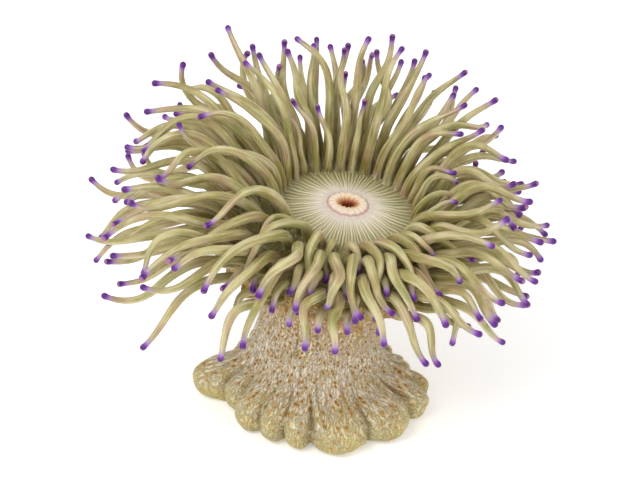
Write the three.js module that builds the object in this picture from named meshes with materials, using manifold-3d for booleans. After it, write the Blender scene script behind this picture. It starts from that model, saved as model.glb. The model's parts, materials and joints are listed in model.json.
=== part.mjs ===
// A sea anemone at life size, in millimetres, +Z up, standing on its foot at Z = 0.
// -Y is the front, where the tentacles hang. The body is modelled upright and then
// bent, so that the crown leans a little to the right and to the front.
import * as THREE from 'three';
import { mergeVertices } from 'three/addons/utils/BufferGeometryUtils.js';
import Module from 'manifold-3d';

const wasm = await Module();
wasm.setup();

const { cos, sin, PI, hypot, min, max, round } = Math;
const radians = THREE.MathUtils.degToRad;
const mix = THREE.MathUtils.lerp;

// ---- Driving dimensions ----

const CUT = 0.3;                     // gap where two parts of the body meet

// Foot and column: [radius, height] up the outside, from the sole to the crown
const FOOT_PROFILE = [[39, 0], [42.2, 3.5], [41.2, 7.6], [33.6, 11.6]];
const LOWER_PROFILE = [[33.6, 11.6], [26, 16], [22.3, 23], [20.8, 32]];
const UPPER_PROFILE = [[20.8, 32], [21.1, 41], [25, 48.5], [31.5, 54], [38.5, 58]];

// Lobes of the foot: the crease where each one starts, in degrees round from +X, and how
// far it reaches from the middle. The foot is longest to the left, the front and the right.
const LOBES = [
  { from: 12, reach: 28.5 }, { from: 40, reach: 28 }, { from: 68, reach: 29 },
  { from: 97, reach: 28.5 }, { from: 126, reach: 29 }, { from: 150, reach: 28.5 },
  { from: 170, reach: 43 }, { from: 199, reach: 33 }, { from: 216, reach: 37 },
  { from: 237, reach: 37.5 }, { from: 253, reach: 39 }, { from: 268, reach: 43 },
  { from: 299, reach: 44 }, { from: 327, reach: 44 }, { from: 344, reach: 41.5 },
  { from: 353, reach: 33 },
];
const FULL_REACH = 42;               // the reach that the profiles are drawn for
const FOOT_SIDES = 3 * LOBES.length;  // facets round the foot
const COLUMN_SIDES = 2 * LOBES.length;
const NECK_SIDES = 26;
const CREASE_DEPTH = 0.13;           // of the radius, at the sole
const FOOT_TOP = 32;                 // height where lobes and creases have faded out
const LOBE_SWELL = 0.6;              // power of the lobe's arch: lower is puffier

// Crown: a flat disc whose rim rolls over and down to the margin
const DISC_RADIUS = 22;
const DISC_HEIGHT = 77;
const MARGIN_RADIUS = 39.5;
const MARGIN_HEIGHT = 61;
const DISC_SHIFT = 3;                // the disc's centre lies this far to the right
const CROWN_BASE = 58;               // height where the crown meets the column
const BARE_RADIUS = 20.15;           // bare disc inside the ring that bears tentacles
const DISC_SIDES = 20;
const DISC_RISE = 1.2;               // the disc swells towards the mouth
const MOUTH_BACK = 1.7;              // the mouth lies this far behind the disc's centre

const MOUTH = { outer: 6.8, crest: 5, inner: 2.8, rise: 1.5, depth: 9, sides: 12 };

// Lean of the crown
const BEND_HEIGHT = 44;              // the body bends below this and is rigid above
const LEAN = 4.5;
const TILT_RIGHT = radians(7);
const TILT_FRONT = radians(6);

// Tentacles, in sectors round the crown. 'rim' is how far down the rolled rim a row
// stands, in degrees, 'count' how many it has in a sector, and 'offset' where in its
// share of the sector each one stands. The sectors' sides slant, so rows are staggered.
const SECTORS = 11;
const SECTOR_TURN = 2 * PI / SECTORS;
const ROWS = [
  { rim: 5, count: 3, offset: 0.5, radius: 1.75, length: 45 },
  { rim: 23.75, count: 3, offset: 0.5, radius: 1.95, length: 51 },
  { rim: 42.5, count: 4, offset: 0.5, radius: 1.95, length: 51 },
  { rim: 61.25, count: 4, offset: 0.5, radius: 1.95, length: 50 },
  { rim: 80, count: 3, offset: 0.5, radius: 1.85, length: 46 },
];
const LAST_ROW = ROWS.length - 1;
const SLANT = 1 / 150;               // sectors that a side moves round in each degree of rim
const SLANT_CENTRE = 42.5;
const RIM_EDGES = [-5, 33, 61, 90];  // facets of the rolled rim
const SECTOR_STEPS = 2;

// How the tentacles are held on each side: [inner row, outer row]. 'middle' and 'tip'
// are degrees above level, and 'reach' scales the length.
const FRONT = { middle: [-40, -34], tip: [-74, -58], reach: [0.56, 0.53] };
const LEFT = { middle: [22, -20], tip: [-6, -16], reach: [1.05, 1.03] };
const RIGHT = { middle: [24, -16], tip: [10, -8], reach: [0.8, 0.72] };
const REAR = { middle: [56, 30], tip: [76, 72], reach: [0.98, 0.98] };

const TAPER = 0.6;                   // of the radius, lost by the tip
const FAN = 34;                      // degrees by which the diagonals turn to the sides
const FRONT_FAN = 25.5;              // the same for the front half
const SPARSE_SIDE = radians(-100);   // on this side many of the outer ones are stunted
const SPARSE_REACH = 0.86;           // cosine of the angle to either side of it
const STUNTED_SHARE = 0.4;           // length of the stunted tentacles
const SHORT_SHARE = 0.62;            // length of the small tentacles of the inner row
const SHORT_RADIUS = 0.82;

// Parting the tentacles
const SAMPLES = 24;                  // points along each tentacle while they are parted
const GAP = 0.5;
const ROUNDS = 80;
const SEARCH_EVERY = 10;
const SEARCH_REACH = 8.7;            // distance within which two points may come to meet
const PUSH = 0.7;

// Facets of a tentacle
const TENTACLE_SIDES = 4;
const TENTACLE_STEP = 15;
const TENTACLE_STEPS = [2, 3];       // fewest and most lengths in one tentacle
const CROWDING = 1.25;               // above 1, the lengths are shorter towards the root
const ROOT_DEPTH = 1.6;              // how deep a root stands in the rim
const ROOT_SHARE = 0.68;             // width of its buried end
const TIP_LENGTH = 0.8;              // the blunt point beyond the last corner
const STRAIGHTENINGS = 30;
const CORNER_GAP = 0.9;              // wider than GAP, for the corners of the sections

// ---- Small tools ----

const smooth = (t) => {
  const s = min(1, max(0, t));
  return s * s * (3 - 2 * s);
};

// A repeatable number from -1 to 1 for item 'index', a different one for each 'salt'
const chance = (index, salt) => {
  const x = sin(index * 12.9898 + salt * 78.233) * 43758.5453;
  return 2 * (x - Math.floor(x)) - 1;
};

// Bends the upright body: nothing moves at the sole, and the crown turns as one piece
function bend(p) {
  const share = smooth(p.z / BEND_HEIGHT);
  const knee = min(p.z, BEND_HEIGHT);
  const rise = p.z - knee;
  const right = TILT_RIGHT * share;
  const front = TILT_FRONT * share;
  const x = p.x * cos(right) + rise * sin(right);
  const up = rise * cos(right) - p.x * sin(right);
  const y = p.y * cos(front) - up * sin(front);
  const z = p.y * sin(front) + up * cos(front);
  return new THREE.Vector3(x + LEAN * share, y, z + knee);
}

// Moves every vertex of a geometry by 'place', joins its seams and turns its faces out
function shaped(geometry, place) {
  const position = geometry.getAttribute('position');
  const vertex = new THREE.Vector3();
  for (let i = 0; i < position.count; i++) {
    const moved = place(vertex.fromBufferAttribute(position, i));
    position.setXYZ(i, moved.x, moved.y, moved.z);
  }
  geometry.deleteAttribute('normal');
  geometry.deleteAttribute('uv');
  const closed = mergeVertices(geometry, 1e-4);
  closed.setIndex(withoutSlivers(closed.index.array));
  if (volume(closed) < 0) closed.index.array.reverse();
  return closed;
}

// The triangles whose three corners differ: a turned shape has others on its axis
function withoutSlivers(index) {
  const kept = [];
  for (let i = 0; i < index.length; i += 3) {
    const [a, b, c] = index.slice(i, i + 3);
    if (a !== b && b !== c && c !== a) kept.push(a, b, c);
  }
  return kept;
}

function volume(geometry) {
  const position = geometry.getAttribute('position');
  const corner = (i) => new THREE.Vector3().fromBufferAttribute(position, geometry.index.getX(i));
  let total = 0;
  for (let i = 0; i < geometry.index.count; i += 3) {
    total += corner(i).dot(corner(i + 1).cross(corner(i + 2)));
  }
  return total;
}

const toManifold = (geometry) => new wasm.Manifold(new wasm.Mesh({
  numProp: 3,
  vertProperties: new Float32Array(geometry.getAttribute('position').array),
  triVerts: new Uint32Array(geometry.index.array),
}));

function fromManifold(solid) {
  const mesh = solid.getMesh();
  const geometry = new THREE.BufferGeometry();
  geometry.setAttribute('position', new THREE.BufferAttribute(mesh.vertProperties, 3));
  geometry.setIndex(new THREE.BufferAttribute(mesh.triVerts, 1));
  return geometry;
}

// Turns a [radius, height] profile about the Z axis. 'place' maps a vertex's radius,
// height and turn (0 to 1) to its place in space.
function turned(profile, sides, place) {
  const points = profile.map(([radius, height]) => new THREE.Vector2(radius, height));
  return shaped(new THREE.LatheGeometry(points, sides), (v) => {
    const turn = round(Math.atan2(v.x, v.z) / (2 * PI) * sides + sides) % sides / sides;
    return place(hypot(v.x, v.z), v.y, turn);
  });
}

// ---- Foot and column ----

// The start of a lobe, in degrees, counted on past a full turn
const lobeStart = (n) => LOBES[n % LOBES.length].from + 360 * Math.floor(n / LOBES.length);
const lobeMiddle = (n) => (lobeStart(n) + lobeStart(n + 1)) / 2;

// Azimuth of a turn from 0 to 1 that gives each lobe an equal share of it
function lobeAzimuth(turn) {
  const place = turn * LOBES.length;
  const lobe = Math.floor(place);
  return radians(mix(lobeStart(lobe), lobeStart(lobe + 1), place - lobe));
}

// How far the foot reaches at an azimuth: smooth from lobe to lobe, less in the creases
function footReach(azimuth) {
  const first = lobeStart(0);
  const degrees = THREE.MathUtils.euclideanModulo(azimuth * 180 / PI - first, 360) + first;
  let lobe = 0;
  while (lobeStart(lobe + 1) <= degrees) lobe++;
  const across = (degrees - lobeStart(lobe)) / (lobeStart(lobe + 1) - lobeStart(lobe));
  const before = across < 0.5 ? lobe + LOBES.length - 1 : lobe + LOBES.length;
  const between = (degrees + 360 - lobeMiddle(before)) / (lobeMiddle(before + 1) - lobeMiddle(before));
  const reach = mix(LOBES[before % LOBES.length].reach, LOBES[(before + 1) % LOBES.length].reach,
    smooth(between));
  return reach * (1 - CREASE_DEPTH * (1 - sin(PI * across) ** LOBE_SWELL));
}

function bodyPoint(radius, height, azimuth) {
  const r = radius * mix(footReach(azimuth) / FULL_REACH, 1, smooth(height / FOOT_TOP));
  return bend(new THREE.Vector3(r * cos(azimuth), r * sin(azimuth), height));
}

// One length of the body, from which half the cut's width is taken at each cut end
function bodyLength(profile, sides, azimuthOf, cutBelow, cutAbove) {
  const points = profile.map(([radius, height]) => [radius, height]);
  points[0][1] += cutBelow / 2;
  points[points.length - 1][1] -= cutAbove / 2;
  const closed = [[0, points[0][1]], ...points, [0, points[points.length - 1][1]]];
  return turned(closed, sides, (radius, height, turn) => bodyPoint(radius, height, azimuthOf(turn)));
}

const evenAzimuth = (turn) => 2 * PI * turn;

// ---- Disc and mouth ----

const crownPoint = (radius, height, turn) => bend(new THREE.Vector3(
  radius * cos(2 * PI * turn) + DISC_SHIFT,
  radius * sin(2 * PI * turn) + MOUTH_BACK * (1 - radius / BARE_RADIUS), height));

function oralDisc() {
  const seat = MOUTH.outer + CUT;
  const floor = DISC_HEIGHT - MOUTH.depth;
  const profile = [
    [0, CROWN_BASE + CUT / 2], [BARE_RADIUS, CROWN_BASE + CUT / 2], [BARE_RADIUS, DISC_HEIGHT],
    [seat, DISC_HEIGHT + DISC_RISE],
    [seat, DISC_HEIGHT - MOUTH.rise], [MOUTH.inner, DISC_HEIGHT - MOUTH.rise],
    [MOUTH.inner, floor], [0, floor],
  ];
  return turned(profile, DISC_SIDES, crownPoint);
}

function lips() {
  const bottom = DISC_HEIGHT - MOUTH.rise + CUT;
  const top = DISC_HEIGHT + DISC_RISE;
  const profile = [
    [MOUTH.inner, bottom], [MOUTH.outer, bottom], [MOUTH.outer, top],
    [MOUTH.crest, top + MOUTH.rise], [MOUTH.inner + 0.7, top + MOUTH.rise * 0.6],
    [MOUTH.inner, top - MOUTH.rise * 0.6], [MOUTH.inner, bottom],
  ];
  return turned(profile, MOUTH.sides, crownPoint);
}

// ---- Rim ----

// A point on the rolled rim: 'rim' is 0 at the disc's edge and PI / 2 at the margin, and
// below 0 it lies on the flat inside the edge
function rimPoint(rim, azimuth) {
  const radius = DISC_RADIUS + (MARGIN_RADIUS - DISC_RADIUS) * sin(rim);
  const height = rim < 0 ? DISC_HEIGHT : mix(MARGIN_HEIGHT, DISC_HEIGHT, cos(rim));
  return new THREE.Vector3(radius * cos(azimuth) + DISC_SHIFT * (1 - max(0, sin(rim))),
    radius * sin(azimuth), height);
}

const slantAt = (rimDegrees) => (rimDegrees - SLANT_CENTRE) * SLANT;

// One sector of the rim: its section, swept round between two slanting sides. Each corner
// of the section is named by a place in a row of unit squares, and then put where it goes.
function rimSector(sector) {
  const bottom = CROWN_BASE + CUT / 2;
  const first = RIM_EDGES[0];
  const lastRim = RIM_EDGES[RIM_EDGES.length - 1];
  const corners = [
    ...RIM_EDGES.map((rim) => ({ rim, at: (azimuth) => rimPoint(radians(rim), azimuth) })),
    { rim: lastRim, at: (azimuth) => rimPoint(PI / 2, azimuth).setZ(bottom) },
    { rim: first, at: (azimuth) => rimPoint(radians(first), azimuth).setZ(bottom) },
  ];
  const section = corners.map(({ at }) => new THREE.Vector2(at(PI / 2).y, at(PI / 2).z));
  const prism = new THREE.ExtrudeGeometry(new THREE.Shape(section),
    { depth: 1, steps: SECTOR_STEPS, bevelEnabled: false });
  return shaped(prism, (v) => {
    const k = section.findIndex((p) => hypot(p.x - v.x, p.y - v.y) < 1e-3);
    const inset = CUT / 2 / section[k].x / SECTOR_TURN;
    const share = slantAt(corners[k].rim) + mix(inset, 1 - inset, v.z);
    return bend(corners[k].at((sector + share) * SECTOR_TURN));
  });
}

// ---- Tentacles ----

// The value of a posture entry for a row and an azimuth, blended between the sides
function posture(entry, row, azimuth) {
  const side = cos(azimuth) > 0 ? RIGHT : LEFT;
  const end = sin(azimuth) > 0 ? REAR : FRONT;
  const across = row / LAST_ROW;
  const share = sin(azimuth) ** (end === REAR ? 2 : 4);
  return mix(mix(...side[entry], across), mix(...end[entry], across), share);
}

const tentacleRadius = (root, t) => root * (1 - TAPER * t ** 1.5);

// The centre line of one tentacle before it makes room for its neighbours
function tentacle(index, rowIndex, sector, place) {
  const row = ROWS[rowIndex];
  const turn = sector + (place + row.offset) / row.count + slantAt(row.rim);
  const azimuth = turn * SECTOR_TURN + radians(0.5 * chance(index, 1));
  const rim = radians(row.rim + 1.5 * chance(index, 2));
  const luck = Array.from({ length: 10 }, (_, salt) => chance(index, 10 + salt));
  const sparse = rowIndex >= 2 && cos(azimuth - SPARSE_SIDE) > SPARSE_REACH;
  const stunted = sparse && luck[5] < (rowIndex > 2 ? 0.5 : 0.1);
  const small = stunted || (rowIndex === 0 && luck[5] < -0.2);
  const share = stunted ? STUNTED_SHARE : small ? SHORT_SHARE : 1;
  const length = row.length * (1 + 0.13 * luck[4]) * posture('reach', rowIndex, azimuth) * share;
  const radius = row.radius * (1 + 0.06 * luck[6]) * (small ? SHORT_RADIUS : 1);

  const start = 90 - 0.85 * THREE.MathUtils.radToDeg(rim);
  const middle = posture('middle', rowIndex, azimuth) + 15 * luck[0];
  const tip = posture('tip', rowIndex, azimuth) + 40 * luck[1];
  const wave = 27 + 10 * luck[7];
  const sway = 30 * sin(3 * azimuth + 1.2 * rowIndex + 0.8 * luck[2]) + 12 * luck[7];
  const fan = -(sin(azimuth) < 0 ? FRONT_FAN : FAN) * cos(azimuth) * sin(azimuth);

  const points = [rimPoint(rim, azimuth)];
  for (let i = 1; i < SAMPLES; i++) {
    const t = (i - 0.5) / (SAMPLES - 1);
    const risen = smooth(t / (0.34 + 0.05 * luck[9]));
    const end = smooth((t - 0.5) / 0.5);
    const elevation = radians(start + (middle - start) * risen + (tip - middle) * end
      + wave * sin(2 * PI * t + 1.3 * luck[8]) * risen);
    const heading = azimuth + radians(sway * sin(2 * PI * t) * risen + 44 * luck[3] * end
      + fan * risen);
    const step = new THREE.Vector3(cos(elevation) * cos(heading),
      cos(elevation) * sin(heading), sin(elevation));
    points.push(points[i - 1].clone().addScaledVector(step, length / (SAMPLES - 1)));
  }
  return { sector, rim, azimuth, length, radius, points };
}

function allTentacles() {
  const list = [];
  for (let sector = 0; sector < SECTORS; sector++) {
    ROWS.forEach((row, rowIndex) => {
      for (let place = 0; place < row.count; place++) {
        list.push(tentacle(list.length + 1, rowIndex, sector, place));
      }
    });
  }
  return list;
}

// Pairs of points of different tentacles that are near enough to come to meet
function nearPairs(paths) {
  const cells = new Map();
  const all = paths.flatMap((path, owner) => path.map((p, i) => ({ p, owner, i })));
  const cell = (p, dx, dy, dz) => [p.x, p.y, p.z]
    .map((value, axis) => Math.floor(value / SEARCH_REACH) + [dx, dy, dz][axis]).join();
  for (const item of all) {
    const key = cell(item.p, 0, 0, 0);
    if (!cells.has(key)) cells.set(key, []);
    cells.get(key).push(item);
  }
  const pairs = [];
  const around = [-1, 0, 1];
  for (const a of all) {
    for (const dx of around) for (const dy of around) for (const dz of around) {
      for (const b of cells.get(cell(a.p, dx, dy, dz)) ?? []) {
        if (a.owner < b.owner && a.p.distanceTo(b.p) < SEARCH_REACH) pairs.push([a, b]);
      }
    }
  }
  return pairs;
}

// Keeps a point that has drifted into the rim's own flesh outside it
function liftOffRim(point, radius, freedom) {
  const hollow = DISC_RADIUS - 6;
  const out = hypot(point.x - DISC_SHIFT / 2, point.y);
  const above = point.z - MARGIN_HEIGHT;
  if (above < -2 || out < hollow) return new THREE.Vector3();
  const across = MARGIN_RADIUS - hollow + radius + 0.6;
  const high = DISC_HEIGHT - MARGIN_HEIGHT + radius + 0.6;
  const depth = hypot((out - hollow) / across, above / high);
  if (depth >= 1) return new THREE.Vector3();
  const push = (1 / max(depth, 0.3) - 1) * freedom * 0.5;
  return new THREE.Vector3(push * (out - hollow) * point.x / out,
    push * (out - hollow) * point.y / out, push * above);
}

// Evens a list of shifts along a tentacle, holding the root
function evened(shifts) {
  const last = shifts.length - 1;
  return shifts.map((shift, i) => {
    if (i === 0) return new THREE.Vector3();
    if (i === last) return shift.clone().add(shifts[i - 1]).multiplyScalar(0.5);
    return shift.clone().multiplyScalar(2).add(shifts[i - 1]).add(shifts[i + 1]).multiplyScalar(0.25);
  });
}

// Moves the tentacles sideways, little by little, until none runs through another
function part(paths, radii, rounds, gap) {
  const rest = paths.map((path) => path.map((p) => p.clone()));
  const freedom = rest[0].map((_, i) => smooth((i / (SAMPLES - 1) - 0.03) / 0.15));
  let moved = rest.map((path) => path.map((p) => p.clone()));
  let pairs = [];
  for (let n = 0; n < rounds; n++) {
    if (n % SEARCH_EVERY === 0) {
      pairs = nearPairs(moved).map(([a, b]) => [a.owner, a.i, b.owner, b.i]);
    }
    const pushes = moved.map((path) => path.map(() => new THREE.Vector3()));
    for (const [ownerA, a, ownerB, b] of pairs) {
      const apart = moved[ownerA][a].clone().sub(moved[ownerB][b]);
      const distance = apart.length() + 1e-9;
      const over = radii[ownerA][a] + radii[ownerB][b] + gap - distance;
      if (over <= 0) continue;
      apart.multiplyScalar(over / 2 / distance);
      pushes[ownerA][a].add(apart);
      pushes[ownerB][b].sub(apart);
    }
    moved = moved.map((path, owner) => {
      const shifts = path.map((p, i) => {
        const shift = p.clone().addScaledVector(pushes[owner][i], freedom[i] * PUSH)
          .sub(rest[owner][i]);
        const at = rest[owner][i].clone().add(shift);
        return shift.add(liftOffRim(at, radii[owner][i], freedom[i]));
      });
      return evened(evened(shifts)).map((shift, i) => shift.add(rest[owner][i]));
    });
  }
  return moved;
}

// How far along a tentacle, from 0 to 1, its corner number i lies
const cornerShare = (i, steps) => (i / steps) ** CROWDING;

// The corners of a path of evenly spaced points, cut into a few straight lengths
const cornersOf = (path, steps) => Array.from({ length: steps + 1 }, (_, i) => {
  const place = cornerShare(i, steps) * (path.length - 1);
  const from = min(Math.floor(place), path.length - 2);
  return path[from].clone().lerp(path[from + 1], place - from);
});

// The evenly spaced points of a path of straight lengths between corners
const alongCorners = (corners) => Array.from({ length: SAMPLES }, (_, n) => {
  const steps = corners.length - 1;
  const place = (n / (SAMPLES - 1)) ** (1 / CROWDING) * steps;
  const from = min(Math.floor(place), steps - 1);
  const [start, end] = [cornerShare(from, steps), cornerShare(from + 1, steps)];
  return corners[from].clone().lerp(corners[from + 1], (n / (SAMPLES - 1) - start) / (end - start));
});

// Parts the smooth centre lines, then the straight lengths that stand for them
function partedCorners(tentacles) {
  const radii = tentacles.map(({ radius }) => Array.from({ length: SAMPLES }, (_, i) =>
    tentacleRadius(radius, i / (SAMPLES - 1))));
  const steps = tentacles.map(({ length }) =>
    min(TENTACLE_STEPS[1], max(TENTACLE_STEPS[0], round(length / TENTACLE_STEP))));
  const smoothPaths = part(tentacles.map(({ points }) => points), radii, ROUNDS, GAP);
  let corners = smoothPaths.map((path, n) => cornersOf(path, steps[n]));
  for (let n = 0; n < STRAIGHTENINGS; n++) {
    const paths = part(corners.map(alongCorners), radii, SEARCH_EVERY, CORNER_GAP);
    corners = paths.map((path, k) => cornersOf(path, steps[k]));
  }
  return corners;
}

// A closed tube round the corners, with its root buried in the rim
function tentacleTube({ rim, azimuth, radius }, corners) {
  const steps = corners.length - 1;
  const outline = Math.sqrt(2 * PI / TENTACLE_SIDES / sin(2 * PI / TENTACLE_SIDES));
  const normal = new THREE.Vector3(sin(rim) * cos(azimuth), sin(rim) * sin(azimuth), cos(rim));
  const centres = [corners[0].clone().addScaledVector(normal, -ROOT_DEPTH), ...corners.slice(1)];
  const frames = transported(centres, normal);
  const tube = new THREE.CylinderGeometry(1, 1, 1, TENTACLE_SIDES, steps);
  return shaped(tube, (v) => {
    const i = round((v.y + 0.5) * steps);
    const width = tentacleRadius(radius, cornerShare(i, steps)) * outline * (i === 0 ? ROOT_SHARE : 1);
    const { across, up, ahead } = frames[i];
    const tip = i === steps && hypot(v.x, v.z) < 0.5 ? TIP_LENGTH : 0;
    return bend(centres[i].clone().addScaledVector(across, v.x * width)
      .addScaledVector(up, v.z * width).addScaledVector(ahead, tip));
  });
}

// Two directions square to the path at each of its points, turned as little as can be
function transported(path, first) {
  let across = new THREE.Vector3(-first.y, first.x, 0.01).normalize();
  return path.map((p, i) => {
    const before = i > 0 ? p.clone().sub(path[i - 1]).normalize() : null;
    const after = i < path.length - 1 ? path[i + 1].clone().sub(p).normalize() : null;
    const ahead = (before ?? after).clone().add(after ?? before).normalize();
    across = across.clone().addScaledVector(ahead, -across.dot(ahead)).normalize();
    return { across, ahead, up: new THREE.Vector3().crossVectors(ahead, across) };
  });
}

// A sector of the rim with its tentacles grown from it
function crownSector(sector, tentacles, corners) {
  let solid = toManifold(rimSector(sector));
  tentacles.forEach((one, n) => {
    if (one.sector === sector) solid = solid.add(toManifold(tentacleTube(one, corners[n])));
  });
  return fromManifold(solid);
}

// ---- The animal ----

const flesh = (color, roughness = 0.5) =>
  new THREE.MeshStandardMaterial({ color, roughness, metalness: 0 });
const COLUMN_SKIN = flesh(0xcdb99a);
const FOOT_SKIN = flesh(0xc2b184);
const DISC_SKIN = flesh(0xdcd6bc);
const LIP_SKIN = flesh(0xe6cfc0);
const TENTACLE_SKIN = flesh(0xb0a36a, 0.4);

function mesh(name, geometry, material) {
  const made = new THREE.Mesh(geometry, material);
  made.name = name;
  return made;
}

const anemone = new THREE.Group();
anemone.add(
  mesh('pedal_disc', bodyLength(FOOT_PROFILE, FOOT_SIDES, lobeAzimuth, 0, CUT), FOOT_SKIN),
  mesh('column_lower', bodyLength(LOWER_PROFILE, COLUMN_SIDES, lobeAzimuth, CUT, CUT), COLUMN_SKIN),
  mesh('column_upper', bodyLength(UPPER_PROFILE, NECK_SIDES, evenAzimuth, CUT, CUT), COLUMN_SKIN),
  mesh('oral_disc', oralDisc(), DISC_SKIN),
  mesh('lips', lips(), LIP_SKIN),
);

const tentacles = allTentacles();
const corners = partedCorners(tentacles);
for (let sector = 0; sector < SECTORS; sector++) {
  const name = `tentacles_${String(sector + 1).padStart(2, '0')}`;
  anemone.add(mesh(name, crownSector(sector, tentacles, corners), TENTACLE_SKIN));
}

export default anemone;
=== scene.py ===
"""A life-size sea anemone: one closed skin, from the sole of the foot to the tentacles' tips.

The body wall is drawn up ring by ring as an upright turned form, shaped into lobes, folds and
ribs, and then leaned over. The tentacles are copies of one tube, each laid along its own path.
All of them are united into a single skin, which stands for every solid of the frame.
"""

import json
import logging
import math
from dataclasses import dataclass, field
from enum import Enum
from typing import Any, NamedTuple, Sequence

import bpy
import numpy as np
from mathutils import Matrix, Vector

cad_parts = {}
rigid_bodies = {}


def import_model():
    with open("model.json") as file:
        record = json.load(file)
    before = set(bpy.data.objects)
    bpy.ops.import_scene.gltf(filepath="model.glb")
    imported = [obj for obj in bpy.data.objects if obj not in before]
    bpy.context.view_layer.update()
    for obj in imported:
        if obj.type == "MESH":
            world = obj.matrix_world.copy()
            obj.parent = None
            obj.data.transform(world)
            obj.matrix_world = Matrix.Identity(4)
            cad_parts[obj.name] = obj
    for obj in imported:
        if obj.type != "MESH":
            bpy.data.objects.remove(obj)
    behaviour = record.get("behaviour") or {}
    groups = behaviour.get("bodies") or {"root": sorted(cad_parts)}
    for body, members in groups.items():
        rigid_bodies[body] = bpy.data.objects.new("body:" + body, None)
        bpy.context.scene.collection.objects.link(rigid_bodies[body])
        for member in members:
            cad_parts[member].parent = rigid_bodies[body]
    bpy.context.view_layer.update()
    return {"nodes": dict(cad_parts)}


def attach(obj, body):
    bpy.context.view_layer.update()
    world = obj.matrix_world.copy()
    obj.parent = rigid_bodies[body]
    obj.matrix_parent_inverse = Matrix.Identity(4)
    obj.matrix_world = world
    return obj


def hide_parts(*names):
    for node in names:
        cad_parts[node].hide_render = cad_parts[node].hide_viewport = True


LOG = logging.getLogger("anemone")
MM = 0.001
Stops = Sequence[tuple[float, str]]


# ---- Small tools ----


def linear(colour: str) -> tuple[float, float, float, float]:
    """Turns a colour into the linear values that a shader takes.

    Args:
        colour: An sRGB colour as six hex digits.

    Returns:
        Linear red, green, blue and an alpha of 1.
    """
    parts = [int(colour[i : i + 2], 16) / 255 for i in (0, 2, 4)]
    red, green, blue = (
        part / 12.92 if part <= 0.04045 else ((part + 0.055) / 1.055) ** 2.4
        for part in parts
    )
    return red, green, blue, 1.0


def eased(value: Any, start: float, end: float) -> Any:
    """Eases from 0 to 1 as a value goes from start to end, level outside them.

    Args:
        value: A number or an array.
        start: The value at and before which the result is 0.
        end: The value from which on the result is 1.

    Returns:
        A share for each value.
    """
    share = np.clip((value - start) / (end - start), 0.0, 1.0)
    return share * share * (3 - 2 * share)


def mix(start: Any, end: Any, share: Any) -> Any:
    """Gives the value a share of the way from start to end."""
    return start + (end - start) * share


def chance(index: float | np.ndarray, salt: float) -> Any:
    """Gives a repeatable number from -1 to 1 for an item.

    Args:
        index: The item's number.
        salt: Which of the item's numbers is wanted.

    Returns:
        The number, or an array of them.
    """
    spread = np.sin(index * 12.9898 + salt * 78.233) * 43758.5453
    return 2 * (spread - np.floor(spread)) - 1


def ripples(turn: np.ndarray, rise: np.ndarray, counts: Sequence[int], drift: float) -> np.ndarray:
    """Adds up waves that run round a form and close on themselves.

    Args:
        turn: Azimuth of each point, in radians.
        rise: Height of each point, in millimetres.
        counts: How many crests each wave has in one turn.
        drift: How far the crests wander round with height, in radians per millimetre.

    Returns:
        The sum for each point, from about -1 to 1.
    """
    total = np.zeros_like(turn)
    for number, count in enumerate(counts):
        lean = drift * chance(number, 31)
        phase = 3 * chance(number, 32)
        # The crests also swing to and fro, once in every 25 to 40 mm of height
        sway = 0.9 * np.sin(rise * (0.16 + 0.05 * number) + 5 * chance(number, 33))
        total += np.sin(count * turn + count * lean * rise + phase + sway)
    return total / math.sqrt(len(counts))


def points_of(piece: bpy.types.Object) -> np.ndarray:
    """Reads a mesh's vertices, in millimetres."""
    flat = np.empty(len(piece.data.vertices) * 3, np.float32)
    piece.data.vertices.foreach_get("co", flat)
    return flat.reshape(-1, 3).astype(float) / MM


def move_points(piece: bpy.types.Object, points: np.ndarray) -> None:
    """Puts a mesh's vertices at new places, in millimetres."""
    piece.data.vertices.foreach_set("co", (points * MM).astype(np.float32).ravel())
    piece.data.update()


def corners_of(piece: bpy.types.Object) -> tuple[np.ndarray, np.ndarray]:
    """Reads which vertex and which face each face corner belongs to.

    Args:
        piece: A mesh object.

    Returns:
        The vertex number and the face number of every corner.
    """
    mesh = piece.data
    vertex = np.empty(len(mesh.loops), np.int32)
    mesh.loops.foreach_get("vertex_index", vertex)
    count = np.empty(len(mesh.polygons), np.int32)
    mesh.polygons.foreach_get("loop_total", count)
    return vertex, np.repeat(np.arange(len(count)), count)


def keep_corner_values(piece: bpy.types.Object, name: str, kind: str, values: np.ndarray) -> None:
    """Stores a value on every face corner, so that it survives the union.

    Args:
        piece: A mesh object.
        name: The attribute's name.
        kind: "FLOAT" or "FLOAT_VECTOR".
        values: One row for each corner.
    """
    made = piece.data.attributes.new(name, kind, "CORNER")
    part = "value" if kind == "FLOAT" else "vector"
    made.data.foreach_set(part, np.ascontiguousarray(values, np.float32).ravel())


def keep_bake_map(piece: bpy.types.Object, places: np.ndarray) -> None:
    """Stores a map named OFBake with a place for every face corner."""
    layer = piece.data.uv_layers.new(name="OFBake")
    layer.uv.foreach_set("vector", np.ascontiguousarray(places, np.float32).ravel())


def unwound(turn: np.ndarray, face: np.ndarray) -> np.ndarray:
    """Keeps the turns of one face's corners together across the full-turn line.

    Args:
        turn: Turn of each corner, from 0 to 1.
        face: Face number of each corner, in order.

    Returns:
        The turns, some of them just past 1.
    """
    first = np.r_[0, np.flatnonzero(np.diff(face)) + 1]
    highest = np.maximum.reduceat(turn, first)[face]
    return np.where(highest - turn > 0.5, turn + 1, turn)


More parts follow.
